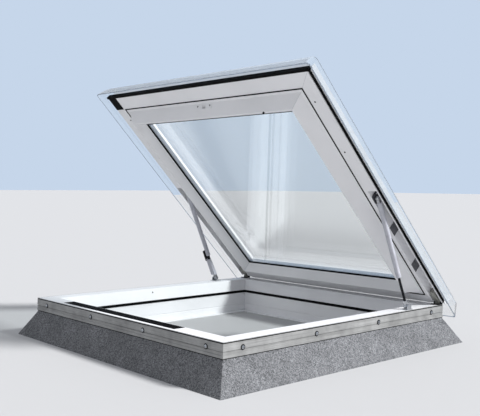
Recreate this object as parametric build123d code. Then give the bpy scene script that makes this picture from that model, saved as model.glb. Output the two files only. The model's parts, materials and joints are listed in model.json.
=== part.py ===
"""Flat roof skylight: a square kerb with a felt upstand, and a glazed sash that opens on two gas springs.

Millimetres, +Z up. The origin is the centre of the roof opening, on the roof's surface. The hinges are on
the +Y side. The sash and what rides on it are made closed and then turned open about the hinge pins.
"""
from build123d import *
import math
import os

os.makedirs("parts", exist_ok=True)

# kerb
rail_size = 1160.0            # outside of the clamping rails, both ways
kerb_height = 150.0           # roof surface to kerb top
kerb_wall = 4.0
kerb_top_width = 65.0         # flat top, from the outside of the rail
kerb_slant_run = 27.0         # the slanted inner face, seen from above
kerb_slant_drop = 52.0
flange_width = 30.0
flange_thickness = 4.0
lining_groove_height = 6.0
lining_groove_depth = 1.5
lining_groove_level = 33.0    # middle of the groove over the roof

# felt and rails
felt_thickness = 5.0
felt_foot_out = 58.0          # how far the foot stands outside the rail
rail_height = 50.0
rail_thickness = 3.0
rail_edge = 1.0               # small chamfers and slopes of the rail's section
rail_step = 0.6               # the rail's lower strip stands this much proud
rail_step_height = 14.0
rail_screw_count = 4
rail_screw_end = 80.0         # last screw, from the corner
rail_screw_drop = 24.0
rail_screw_length = 26.0
rail_screw_radius = 2.4
rail_washer_radius = 8.0
rail_washer_thickness = 1.2
rail_head_radius = 4.6
rail_head_height = 3.2
rail_head_taper = 18.0
rail_hole_clearance = 0.6
screw_sides = 6               # small round pieces that repeat have few sides
washer_sides = 16

# roof fixings
fixing_hole_radius = 3.5
fixing_pitch = 600.0

# tread strip
tread_length = 716.0
tread_width = 46.0
tread_depth = 2.0
tread_shift = -40.0
tread_inset = 17.0
tread_rib_pitch = 6.0
tread_rib_depth = 0.8

# kerb gasket
kerb_gasket_width = 8.0
kerb_gasket_height = 11.0
kerb_gasket_lap = 3.0         # the gasket's nose overlaps the slanted face's edge
kerb_gasket_round = 2.0

# sash frame, measured from the outside of the rail inwards and from the kerb top upwards
sash_gap = 2.0                # sash face over the kerb top when closed
sash_outset = 8.0             # PVC profile outside the rail
sash_face_gap = 5.0           # the flat face goes on past the kerb's flat top
ridge_run = 38.0              # from the flat face's edge to the ridge
ridge_depth = 40.0
ridge_flat = 4.0
seat_run = 30.0               # from the ridge to the glass seat's edge
seat_width = 21.0
seat_edge = 2.0
glass_seat_drop = 4.0
sash_height = 42.0
back_relief_start = 17.0      # from the rail face inwards
back_relief_height = 14.0

# hinge pins
hinge_inset = 8.0             # pin, from the rail face inwards
hinge_level = 6.0             # pin, over the kerb top
opening_angle = 46.0

# side channels of the sash
channel_inset = 35.0
channel_wall = 4.0            # between the channel and the profile's outside
channel_roof = 2.0
channel_front_room = 50.0     # the channel goes on past the springs' upper pivots
channel_back_reach = 60.0     # from the hinge pins to the back end
hinge_pocket_drop = 10.0      # the channel's ceiling is this much lower at the hinge

# cladding and seals of the sash
cladding_thickness = 2.5
cladding_flange = 82.0
lip_gap = 0.5                 # over the kerb top when closed
lip_front_out = 17.5
lip_front_height = 20.0
lip_side_out = 14.0
lip_side_height = 8.0
lip_side_rise = 3.3           # the side seals start this much over the sash's face
lip_flap_width = 53.0         # flap under the left front corner
face_gasket_setback = 17.0    # from the flat face's edge
face_gasket_width = 4.5
face_gasket_height = 1.7

# glass unit
pane_inner = 6.0
pane_outer = 4.0
pane_space = 16.0
pane_clearance = 4.0          # pane edge to the rebate wall
spacer_reach = 4.0            # past the seat's edge
spacer_width = 11.0
glazing_gasket_thickness = 3.0
glazing_gasket_reach = 4.0    # past the seat's edge
bead_width = 20.0
bead_edge = 3.0
bead_slope_run = 8.0

# cover
cover_overhang = 50.0
cover_rim_level = -12.0
cover_shoulder_inset = 14.0   # from the rim inwards
cover_shoulder_rise = 3.0     # over the sash
cover_crown_inset = 92.0
cover_crown_rise = 22.0
cover_wall = 4.0
cover_corner = 14.0
cover_clip_inset = 62.0
cover_clip_end = 260.0        # from the corner of the rail
cover_clip_size = 26.0

# hinges
hinge_pin_radius = 3.0
hinge_clearance = 0.06
hinge_knuckle = 5.6           # radius of the knuckle
hinge_side_gap = 1.0          # hinge to the side channel's inner wall
hinge_ear = 5.0
hinge_ear_gap = 1.0
hinge_plate = 2.5
hinge_reach = 26.0            # base plate, forward of the pin
hinge_arm_length = 62.0
hinge_arm_thickness = 8.0
hinge_post = 8.0
hinge_lift = 0.7              # leaf arm over the base plate

# gas springs
tube_radius = 10.0
tube_wall = 1.4
tube_cap = 4.0
rod_radius = 5.0
rod_clearance = 0.05
piston_length = 12.0
piston_clearance = 0.1
piston_gap = 0.3
guide_length = 10.0
guide_sides = 12
spring_side_gap = 4.5         # tube to the side channel's inner wall
spring_foot_reach = 210.0     # from the hinge pins, along the kerb
spring_foot_rise = 3.0        # tube over the kerb top at the foot, when closed
spring_head_reach = 572.0     # from the hinge pins, along the closed sash
spring_head_rise = 6.0
closed_rod_shown = 36.9       # foot pivot to the tube's end, when closed
eye_radius = 9.0
eye_width = 12.0
eye_stem = 14.0
foot_stem_length = 24.0
head_stem_length = 15.0
spring_pin_radius = 4.0
spring_pin_clearance = 0.06
head_pin_gap = 0.3

# brackets of the gas springs
foot_plate_length = 40.0
foot_plate_thickness = 2.5
foot_plate_gap = 2.0          # plate to the wall of the side channel
foot_upright = 4.0
foot_upright_width = 24.0
foot_upright_gap = 2.0
foot_upright_round = 8.0
foot_pin_end = 1.0
head_plate_length = 40.0
head_plate_thickness = 4.0
head_plate_height = 36.0
head_plate_round = 9.0
pad_length = 43.0
pad_thickness = 1.5
pad_height = 38.0
pad_reaches = (206.0, 409.0)  # from the hinge pins, along the closed sash

# shroud and lever that lock the left gas spring
shroud_wall = 1.5
shroud_side_gap = 1.7         # tube to the shroud's flanges
shroud_front_gap = 0.5        # tube to the shroud's web
shroud_start = 22.0           # from the foot pivot
shroud_length = 85.0
shroud_foot_back = 4.0        # how far the flanges reach behind the rod's middle
shroud_head_back = -2.0
lever_start = 95.0            # from the foot pivot
lever_length = 54.0
lever_width = 20.0
lever_front = 11.0            # in front of the rod's middle
lever_thickness = 8.5
lever_gap = 0.3
lever_round = 3.0
lever_pivot_up = 5.0          # pivot over the lever's end
lever_pivot_front = 6.0       # pivot in front of the rod's middle
lever_pivot_radius = 2.0
lever_pivot_clearance = 0.06

# lock: the bolt is in the kerb, the strike plate on the sash
lock_level = -9.0             # bolt's middle, over the kerb top
bolt_width = 18.0
bolt_height = 8.0
bolt_length = 34.0
bolt_clearance = 0.3
bolt_set_back = 0.5           # bolt's tip behind the kerb's slanted face, unlocked
strike_length = 92.0
strike_width = 15.0
strike_thickness = 1.5
strike_slot_gap = 1.5
strike_screw_pitch = 72.0
strike_screw_rise = 4.0       # the screws sit towards the flat face
strike_screw_radius = 3.0
strike_screw_head = 1.0
strike_screw_sides = 8
strike_pocket = 16.0
lock_case_length = 70.0
lock_case_depth = 22.0
lock_case_height = 32.0
lock_case_top = -68.0         # over the kerb top
lock_case_round = 4.0
handle_gap = 0.4
handle_hub_radius = 9.0
handle_hub_height = 8.0
handle_length = 110.0
handle_thickness = 8.0
handle_width = 15.0
handle_round = 7.0

# small marks on the sash
face_screw_radius = 3.0
face_screw_head = 1.0
face_screw_sides = 8
face_screw_inset = 34.0
face_screw_reaches = (115.0, 341.0)   # from the front rail's face
stop_radius = 4.0
stop_height = 6.0
stop_taper = 8.0
stop_sides = 10
stop_inset = 245.0            # from the right rail's face

cut_slack = 1.0               # cutting shapes go on this far past what they cut

# places that follow from the sizes
half = rail_size / 2
hinge_y = half - hinge_inset
hinge_z = kerb_height + hinge_level
hinge_axis = Axis((0, hinge_y, hinge_z), (1, 0, 0))
sides = (-1, 1)
corner_turns = (0, 90, 180, 270)
kerb_throat = kerb_top_width + kerb_slant_run
kerb_inside = kerb_throat - kerb_wall
kerb_notch = kerb_slant_drop + kerb_gasket_height - kerb_gasket_lap
sash_face_width = kerb_top_width + sash_face_gap
ridge_inset = sash_face_width + ridge_run
glass_seat_inset = ridge_inset + seat_run
glass_rebate = glass_seat_inset - seat_width
glass_low = -glass_seat_drop + glazing_gasket_thickness
glass_high = glass_low + pane_inner + pane_space + pane_outer
channel_depth = sash_height - channel_roof
channel_outer = half + sash_outset - channel_wall
channel_inner = half - channel_inset
face_gasket_inset = sash_face_width - face_gasket_setback
cladding_top = sash_height + cladding_thickness


def opened(shape):
    """Turn a piece of the closed sash to the open position."""
    return shape.rotate(hinge_axis, -opening_angle)


def open_point(y, z):
    """Where a point of the closed sash lies when the sash is open."""
    turn = math.radians(opening_angle)
    dy = y - hinge_y
    dz = z - hinge_z
    return (hinge_y + dy * math.cos(turn) + dz * math.sin(turn),
            hinge_z - dy * math.sin(turn) + dz * math.cos(turn))


def ring(points):
    """Carry a section round the square; points are (inset from the rail face, level over the kerb top)."""
    corners = [(half - u, kerb_height + z) for u, z in points]
    section = make_face(Polyline([(x, 0, z) for x, z in corners], close=True))
    reach = max(x for x, z in corners)
    side = extrude(section, amount=reach, dir=(0, 1, 0)) + extrude(section, amount=reach, dir=(0, -1, 0))
    outside = reach + cut_slack
    low = min(z for x, z in corners) - cut_slack
    high = max(z for x, z in corners) + cut_slack
    wedge = Plane.XY.offset(low) * make_face(
        Polyline([(0, 0), (outside, -outside), (outside, outside)], close=True))
    piece = side & extrude(wedge, amount=high - low)
    whole = piece
    for turn in corner_turns[1:]:
        whole = whole + piece.rotate(Axis.Z, turn)
    return whole


def box_between(low, high):
    """A box from its lowest to its highest corner, with levels counted from the kerb top."""
    size = [h - l for l, h in zip(low, high)]
    middle = [(h + l) / 2 for l, h in zip(low, high)]
    return Pos(middle[0], middle[1], middle[2] + kerb_height) * Box(*size)


def side_box(side, inner, outer, y_range, z_range):
    """A box at one side, between two distances from the middle."""
    low, high = sorted((side * inner, side * outer))
    return box_between((low, y_range[0], z_range[0]), (high, y_range[1], z_range[1]))


def side_sector(turn):
    """A wedge that holds one side of the square, mitred at its corners."""
    reach = half + felt_foot_out
    face = make_face(Polyline([(0, 0), (reach, -reach), (reach, reach)], close=True))
    return extrude(face, amount=2 * kerb_height).rotate(Axis.Z, turn)


def rod_along_x(radius, low, high, y, z):
    """A round bar along X between two x values."""
    return Pos((low + high) / 2, y, z) * Rot(0, 90, 0) * Cylinder(radius, high - low)


def prism(radius, count, height):
    """A bar with a few flat sides that stands for a small round one."""
    return extrude(RegularPolygon(radius, count), amount=height)


def on_side(side, shape):
    """A piece made for the right side, mirrored when it is the left one."""
    return shape if side > 0 else shape.mirror(Plane.YZ)


def write(name, shape):
    export_step(shape, os.path.join("parts", name + ".step"))


# kerb frame: one extruded section, mitred and welded
def kerb_frame():
    base = -kerb_height
    groove_low = base + lining_groove_level - lining_groove_height / 2
    groove_high = groove_low + lining_groove_height
    groove_bottom = kerb_throat - lining_groove_depth
    flange_top = base + flange_thickness
    flange_edge = kerb_throat + flange_width
    felt_inside = rail_thickness + felt_thickness
    skirt_inside = felt_inside + kerb_wall
    skirt_end = -rail_height - kerb_wall
    frame = ring([
        (rail_thickness, 0), (kerb_top_width, 0), (kerb_inside, -kerb_slant_drop),
        (kerb_inside, -kerb_notch), (kerb_throat, -kerb_notch),
        (kerb_throat, groove_high), (groove_bottom, groove_high),
        (groove_bottom, groove_low), (kerb_throat, groove_low),
        (kerb_throat, flange_top), (flange_edge, flange_top), (flange_edge, base), (kerb_inside, base),
        (kerb_inside, -kerb_notch - kerb_wall), (kerb_inside - kerb_wall, -kerb_notch - kerb_wall),
        (kerb_inside - kerb_wall, -kerb_slant_drop), (kerb_top_width - kerb_wall, -kerb_wall),
        (skirt_inside, -kerb_wall), (skirt_inside, skirt_end), (felt_inside, skirt_end),
        (felt_inside, -kerb_wall), (rail_thickness, -kerb_wall),
    ])
    frame -= tread_block()
    frame -= kerb_bolt_hole()
    hole = Pos(0, 0, flange_thickness / 2) * Cylinder(fixing_hole_radius, 2 * flange_thickness)
    hole_place = half - kerb_throat - flange_width / 2
    for turn in corner_turns:
        for side in sides:
            frame -= (Pos(hole_place, side * fixing_pitch / 2, 0) * hole).rotate(Axis.Z, turn)
    return frame


def insulation():
    skirt_inside = rail_thickness + felt_thickness + kerb_wall
    skirt_end = -rail_height - kerb_wall
    core = ring([
        (skirt_inside, -kerb_wall), (kerb_top_width - kerb_wall, -kerb_wall),
        (kerb_inside - kerb_wall, -kerb_slant_drop), (kerb_inside - kerb_wall, -kerb_notch - kerb_wall),
        (kerb_inside, -kerb_notch - kerb_wall), (kerb_inside, -kerb_height),
        (felt_slope_inset(-kerb_height) + felt_across(), -kerb_height),
        (felt_slope_inset(skirt_end) + felt_across(), skirt_end), (skirt_inside, skirt_end),
    ])
    return core - kerb_bolt_hole()


def felt_slope_inset(level):
    """Inset of the felt's outer face at a level below the rail."""
    share = (-level - rail_height) / (kerb_height - rail_height)
    return rail_thickness - share * (rail_thickness + felt_foot_out)


def felt_across():
    """The felt's thickness measured level, on its slope."""
    rise = kerb_height - rail_height
    run = rail_thickness + felt_foot_out
    return felt_thickness * math.hypot(rise, run) / rise


def felt():
    inside = rail_thickness + felt_thickness
    knee = -rail_height - kerb_wall
    return ring([
        (rail_thickness, -kerb_wall), (inside, -kerb_wall), (inside, knee),
        (felt_slope_inset(knee) + felt_across(), knee),
        (felt_slope_inset(-kerb_height) + felt_across(), -kerb_height),
        (-felt_foot_out, -kerb_height), (rail_thickness, -rail_height),
    ])


def rail_ring():
    step = -rail_height + rail_step_height
    return ring([
        (0, -rail_edge), (0, step), (rail_step, step - rail_edge), (-rail_step, step - 2 * rail_edge),
        (-rail_step, -rail_height + rail_edge), (0, -rail_height), (rail_thickness, -rail_height),
        (rail_thickness, 0), (rail_edge, 0),
    ])


def at_rail_screws(shape):
    """Copies of one shape at every rail screw; its +Z points out of the kerb."""
    span = rail_size - 2 * rail_screw_end
    copies = []
    for turn in corner_turns:
        for i in range(rail_screw_count):
            along = -span / 2 + i * span / (rail_screw_count - 1)
            place = Pos(half, along, kerb_height - rail_screw_drop) * Rot(0, 90, 0)
            copies.append((place * shape).rotate(Axis.Z, turn))
    return Compound(copies)


def rail_screws():
    screw = Pos(0, 0, -rail_screw_length) * prism(rail_screw_radius, screw_sides, rail_screw_length)
    screw += prism(rail_washer_radius, washer_sides, rail_washer_thickness)
    screw += Pos(0, 0, rail_washer_thickness) * extrude(
        RegularPolygon(rail_head_radius, screw_sides), amount=rail_head_height, taper=rail_head_taper)
    return at_rail_screws(screw)


def rail_holes():
    depth = 2 * rail_thickness
    return at_rail_screws(Pos(0, 0, -depth) * prism(
        rail_screw_radius + rail_hole_clearance, screw_sides, depth + 2 * rail_thickness))


def tread_block():
    left = tread_shift - tread_length / 2
    front = -half + tread_inset
    return box_between((left, front, -tread_depth), (left + tread_length, front + tread_width, 0))


def tread_strip():
    strip = tread_block()
    front = -half + tread_inset
    left = tread_shift - tread_length / 2
    groove = tread_rib_pitch / 2
    for i in range(int(tread_width // tread_rib_pitch)):
        y = front + i * tread_rib_pitch + groove / 2
        strip -= box_between((left, y, -tread_rib_depth), (left + tread_length, y + groove, 0))
    return strip


def kerb_gasket():
    tip = kerb_inside + kerb_gasket_width
    soft = kerb_gasket_round
    return ring([
        (kerb_inside, -kerb_slant_drop), (kerb_inside + soft, -kerb_slant_drop + kerb_gasket_lap),
        (tip, -kerb_slant_drop - soft / 2), (tip, -kerb_notch + soft), (tip - soft, -kerb_notch),
        (kerb_inside, -kerb_notch),
    ])


# sash
def sash_frame():
    frame = ring([
        (-sash_outset, sash_gap), (sash_face_width, sash_gap),
        (ridge_inset - ridge_flat / 2, -ridge_depth), (ridge_inset + ridge_flat / 2, -ridge_depth),
        (glass_seat_inset, -glass_seat_drop - seat_edge), (glass_seat_inset, -glass_seat_drop),
        (glass_rebate, -glass_seat_drop), (glass_rebate, sash_height), (-sash_outset, sash_height),
    ])
    frame -= back_relief()
    front = hinge_y - spring_head_reach - channel_front_room
    back = hinge_y - channel_back_reach
    for side in sides:
        frame -= side_box(side, channel_inner, channel_outer, (front, back), (0, channel_depth))
        frame -= side_box(side, channel_inner, channel_outer, (back, half + 2 * sash_outset),
                          (0, channel_depth - hinge_pocket_drop))
    return frame - sash_bolt_hole()


def back_relief():
    """The sash's underside is cut back behind the hinge pins."""
    wide = half + cover_overhang
    return box_between((-wide, half - back_relief_start, -ridge_depth),
                       (wide, half + cover_overhang, back_relief_height))


def cladding():
    out = sash_outset + cladding_thickness
    low = lip_gap + lip_front_height
    shell = ring([
        (-out, low), (-sash_outset, low), (-sash_outset, sash_height), (cladding_flange, sash_height),
        (cladding_flange, cladding_top), (-out, cladding_top),
    ])
    return shell - back_relief()


def lip_gasket():
    """The outer seal: a tall bar in front, low bars at the sides, a flap under the left front corner."""
    face = half + sash_outset
    front_out = half + lip_front_out
    side_out = half + lip_side_out
    low = sash_gap + lip_side_rise
    seal = box_between((-front_out, -front_out, lip_gap), (front_out, -face, lip_gap + lip_front_height))
    for side in sides:
        seal += side_box(side, face, side_out, (-face, half - back_relief_start), (low, low + lip_side_height))
    flap_back = -half + face_gasket_inset
    return seal + box_between((-face, -face, lip_gap), (-face + lip_flap_width, flap_back, sash_gap))


def face_gasket():
    low = sash_gap - face_gasket_height
    inner = face_gasket_inset + face_gasket_width
    return ring([(face_gasket_inset, low), (inner, low), (inner, sash_gap), (face_gasket_inset, sash_gap)])


def pane(low, thickness):
    size = 2 * (half - glass_rebate - pane_clearance)
    return Pos(0, 0, kerb_height + low + thickness / 2) * Box(size, size, thickness)


def spacer():
    low = glass_low + pane_inner
    high = low + pane_space
    inner = glass_seat_inset + spacer_reach
    return ring([(inner - spacer_width, low), (inner, low), (inner, high), (inner - spacer_width, high)])


def glazing_gasket():
    outside = glass_rebate + pane_clearance
    tip = glass_seat_inset + glazing_gasket_reach
    return ring([
        (outside, -glass_seat_drop), (glass_seat_inset, -glass_seat_drop),
        (glass_seat_inset, -glass_seat_drop - seat_edge), (tip, -glass_seat_drop - seat_edge / 2),
        (tip, glass_low), (outside, glass_low),
    ])


def glazing_bead():
    inner = glass_rebate + bead_width
    return ring([
        (glass_rebate, glass_high), (inner, glass_high), (inner, glass_high + bead_edge),
        (inner - bead_slope_run, sash_height), (glass_rebate, sash_height),
    ])


def cover_solid(shrink, rim):
    """The cover's outer form, or its inside when shrunk by the wall: a skirt and a low crown."""
    def layer(inset, level):
        size = 2 * (half + cover_overhang - inset - shrink)
        return Plane.XY.offset(kerb_height + level) * RectangleRounded(size, size, cover_corner)
    shoulder = layer(cover_shoulder_inset, sash_height + cover_shoulder_rise - shrink)
    crown = layer(cover_crown_inset, sash_height + cover_crown_rise - shrink)
    return loft([layer(0, rim), shoulder]) + loft([shoulder, crown])


def clear_cover():
    return cover_solid(0, cover_rim_level) - cover_solid(cover_wall, cover_rim_level - cut_slack)


def cover_clips():
    high = sash_height + cover_crown_rise - cover_wall
    block = Pos(0, 0, (cladding_top + high) / 2) * Box(cover_clip_size, cover_clip_size, high - cladding_top)
    clips = []
    for turn in corner_turns:
        for side in sides:
            place = Pos(half - cover_clip_inset, side * (half - cover_clip_end), kerb_height)
            clips.append((place * block).rotate(Axis.Z, turn))
    return Compound(clips)


# hinges, between the side channel's inner wall and the rail's face
hinge_inner = channel_inner + hinge_side_gap
hinge_outer = half


def hinge_base(side):
    back = hinge_y + hinge_knuckle
    base = box_between((hinge_inner, hinge_y - hinge_reach, 0), (hinge_outer, back, hinge_plate))
    base -= box_between((hinge_inner + hinge_ear, hinge_y - hinge_knuckle - hinge_ear_gap, 0),
                        (hinge_outer - hinge_ear, back, hinge_plate))
    for low in (hinge_inner, hinge_outer - hinge_ear):
        base += box_between((low, hinge_y - hinge_knuckle, 0), (low + hinge_ear, back, hinge_level))
        base += rod_along_x(hinge_knuckle, low, low + hinge_ear, hinge_y, hinge_z)
    base += rod_along_x(hinge_pin_radius, hinge_inner, hinge_outer, hinge_y, hinge_z)
    return on_side(side, base)


def hinge_leaf(side):
    inner = hinge_inner + hinge_ear + hinge_ear_gap
    outer = hinge_outer - hinge_ear - hinge_ear_gap
    front = hinge_y - hinge_arm_length
    low = hinge_plate + hinge_lift
    roof = channel_depth - hinge_pocket_drop
    leaf = rod_along_x(hinge_knuckle, inner, outer, hinge_y, hinge_z)
    leaf += box_between((inner, front, low), (outer, hinge_y, low + hinge_arm_thickness))
    leaf += box_between((inner, front, low), (outer, front + hinge_post, roof))
    leaf += box_between((inner, front, roof - hinge_plate), (outer, hinge_y, roof))
    leaf -= rod_along_x(hinge_pin_radius + hinge_clearance, inner - cut_slack, outer + cut_slack,
                        hinge_y, hinge_z)
    return opened(on_side(side, leaf))


# gas springs, made standing on the foot pivot and then put in place
spring_plane = channel_inner + spring_side_gap + tube_radius
foot = (hinge_y - spring_foot_reach, kerb_height + tube_radius + spring_foot_rise)
head_closed = (hinge_y - spring_head_reach, kerb_height + tube_radius + spring_head_rise)
head_open = open_point(*head_closed)
spring_length = math.hypot(head_open[0] - foot[0], head_open[1] - foot[1])
spring_closed = math.hypot(head_closed[0] - foot[0], head_closed[1] - foot[1])
spring_lean = math.degrees(math.atan2(foot[0] - head_open[0], head_open[1] - foot[1]))
spring_lean_closed = math.degrees(math.atan2(foot[0] - head_closed[0], head_closed[1] - foot[1]))
rod_shown = closed_rod_shown + spring_length - spring_closed
tube_bore = tube_radius - tube_wall
tube_top = spring_length - head_stem_length


def place_spring(shape, side):
    """From the foot pivot at the origin, standing up, to its place on one side."""
    return Pos(side * spring_plane, foot[0], foot[1]) * Rot(spring_lean, 0, 0) * shape


def pillar(radius, low, high):
    """A round bar up the spring's middle line."""
    return Pos(0, 0, low) * extrude(Circle(radius), amount=high - low)


def eye(stem):
    """A flat eye, round at its pivot, with a straight stem up to a height."""
    outline = Circle(eye_radius) + Pos(0, stem / 2) * Rectangle(eye_stem, abs(stem))
    return extrude(Plane.YZ * outline, amount=eye_width / 2, both=True)


def spring_rod():
    piston = rod_shown + guide_length + piston_gap
    rod = pillar(rod_radius, foot_stem_length, piston)
    return rod + pillar(tube_bore - piston_clearance, piston, piston + piston_length)


def foot_eye():
    return eye(foot_stem_length) - Rot(0, 90, 0) * Cylinder(spring_pin_radius + spring_pin_clearance,
                                                            2 * eye_width)


def spring_tube():
    return pillar(tube_radius, rod_shown, tube_top) - pillar(tube_bore, rod_shown, tube_top - tube_cap)


def spring_guide():
    guide = Pos(0, 0, rod_shown) * prism(tube_bore, guide_sides, guide_length)
    return guide - pillar(rod_radius + rod_clearance, rod_shown - cut_slack, rod_shown + guide_length + cut_slack)


def head_eye(side):
    reach = spring_plane - channel_inner - head_plate_thickness - head_pin_gap
    pin = Pos(-side * reach / 2, 0, 0) * Rot(0, 90, 0) * Cylinder(spring_pin_radius, reach)
    return Pos(0, 0, spring_length) * (eye(-head_stem_length) + pin)


def foot_bracket(side):
    upright_x = spring_plane + tube_radius + foot_upright_gap
    outer = upright_x + foot_upright
    top = foot[1] - kerb_height + eye_radius - foot_upright_gap
    plate = box_between((channel_inner + foot_plate_gap, foot[0] - foot_plate_length / 2, 0),
                        (outer, foot[0] + foot_plate_length / 2, foot_plate_thickness))
    upright = box_between((upright_x, foot[0] - foot_upright_width / 2, 0),
                          (outer, foot[0] + foot_upright_width / 2, top))
    upright = fillet(upright.edges().filter_by(Axis.X).group_by(Axis.Z)[-1], foot_upright_round)
    pin = rod_along_x(spring_pin_radius, spring_plane - eye_width / 2 - foot_pin_end, upright_x, *foot)
    return on_side(side, plate + upright + pin)


def head_bracket(side):
    y = head_closed[0]
    block = box_between((channel_inner, y - head_plate_length / 2, sash_gap),
                        (channel_inner + head_plate_thickness, y + head_plate_length / 2,
                         sash_gap + head_plate_height))
    block = fillet(block.edges().filter_by(Axis.X), head_plate_round)
    return opened(on_side(side, block))


def channel_pads():
    pads = []
    for reach in pad_reaches:
        y = hinge_y - reach
        for side in sides:
            pads.append(side_box(side, channel_inner, channel_inner + pad_thickness,
                                 (y - pad_length / 2, y + pad_length / 2), (sash_gap, sash_gap + pad_height)))
    return opened(Compound(pads))


# shroud and lever of the left gas spring, made like the spring itself
shroud_inside = tube_radius + shroud_side_gap
shroud_outside = shroud_inside + shroud_wall
shroud_front = -tube_radius - shroud_front_gap - shroud_wall


def stay_shroud():
    """A steel channel over the rod: a web in front, tapered flanges, and a foot that grips the eye's stem."""
    end = shroud_start + shroud_length
    outline = make_face(Polyline([
        (shroud_front, shroud_start), (shroud_foot_back, shroud_start), (shroud_head_back, end),
        (shroud_front, end)], close=True))
    shroud = extrude(Plane.YZ * outline, amount=shroud_outside, both=True)
    shroud -= shroud_room(shroud_front + shroud_wall, shroud_start + shroud_wall, end + cut_slack)
    shroud -= Pos(0, 0, shroud_start) * Box(eye_width, eye_stem, 2 * foot_stem_length)
    rivet_end = shroud_outside + lever_gap + lever_thickness
    rivet = rod_along_x(lever_pivot_radius, -rivet_end, -shroud_outside, *lever_pivot())
    return shroud + rivet


def shroud_room(front, low, high):
    """The space between the shroud's flanges, from a distance in front of the rod backwards."""
    depth = shroud_foot_back - front + cut_slack
    return Pos(0, front + depth / 2, (low + high) / 2) * Box(2 * shroud_inside, depth, high - low)


def lever_pivot():
    return -lever_pivot_front, lever_start + lever_pivot_up


def lock_lever():
    """A moulded lever on the shroud's outer side that swings on the rivet."""
    x = shroud_outside + lever_gap + lever_thickness / 2
    lever = Pos(-x, lever_width / 2 - lever_front, lever_start + lever_length / 2) * Box(
        lever_thickness, lever_width, lever_length)
    lever = fillet(lever.edges().filter_by(Axis.X), lever_round)
    return lever - rod_along_x(lever_pivot_radius + lever_pivot_clearance, -x - lever_thickness,
                               -x + lever_thickness, *lever_pivot())


# lock and handle, in the middle of the front side
kerb_slope = (kerb_inside - kerb_top_width) / kerb_slant_drop
ridge_slope = (ridge_run - ridge_flat / 2) / (ridge_depth + sash_gap)
lock_kerb_inset = kerb_top_width - lock_level * kerb_slope
lock_sash_inset = sash_face_width + (sash_gap - lock_level) * ridge_slope
bolt_tip = lock_kerb_inset - bolt_height / 2 * kerb_slope - bolt_set_back


def bolt_room(front, back, gap):
    """A block as wide and high as the bolt and a gap, between two insets at the front side."""
    return box_between((-bolt_width / 2 - gap, -half + front, lock_level - bolt_height / 2 - gap),
                       (bolt_width / 2 + gap, -half + back, lock_level + bolt_height / 2 + gap))


def kerb_bolt_hole():
    return bolt_room(bolt_tip - bolt_length, lock_kerb_inset + bolt_height, bolt_clearance)


def sash_bolt_hole():
    return bolt_room(lock_sash_inset - bolt_height, lock_sash_inset + strike_pocket,
                     bolt_clearance + strike_slot_gap / 2)


def strike_plate():
    """The plate on the ridge's outer slope that the bolt goes through."""
    lean = math.degrees(math.atan(1 / ridge_slope))
    plate = Pos(0, 0, strike_thickness / 2) * Box(strike_length, strike_width, strike_thickness)
    for side in sides:
        plate += Pos(side * strike_screw_pitch / 2, strike_screw_rise, strike_thickness) * prism(
            strike_screw_radius, strike_screw_sides, strike_screw_head)
    plate = Pos(0, -half + lock_sash_inset, kerb_height + lock_level) * Rot(180 - lean, 0, 0) * plate
    return opened(plate - sash_bolt_hole())


def lock_case():
    case = box_between((-lock_case_length / 2, -half + kerb_throat, lock_case_top - lock_case_height),
                       (lock_case_length / 2, -half + kerb_throat + lock_case_depth, lock_case_top))
    return fillet(case.edges().filter_by(Axis.Y), lock_case_round)


def handle():
    y = -half + kerb_throat + lock_case_depth / 2
    top = kerb_height + lock_case_top - lock_case_height - handle_gap
    hub = Pos(0, y, top) * extrude(Circle(handle_hub_radius), amount=-handle_hub_height)
    arm = Pos((handle_length - handle_width) / 2, y, top - handle_hub_height - handle_thickness / 2) * Box(
        handle_length, handle_width, handle_thickness)
    arm = fillet(arm.edges().filter_by(Axis.Z), handle_round)
    return hub + arm


def face_screws():
    head = Rot(180, 0, 0) * prism(face_screw_radius, face_screw_sides, face_screw_head)
    heads = []
    for side in sides:
        for reach in face_screw_reaches:
            heads.append(Pos(side * (half - face_screw_inset), -half + reach, kerb_height + sash_gap) * head)
    return opened(Compound(heads))


def ridge_stop():
    stop = extrude(RegularPolygon(stop_radius, stop_sides), amount=stop_height, taper=stop_taper)
    base = Pos(half - stop_inset, -half + ridge_inset, kerb_height - ridge_depth)
    return opened(base * Rot(180, 0, 0) * stop)


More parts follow.
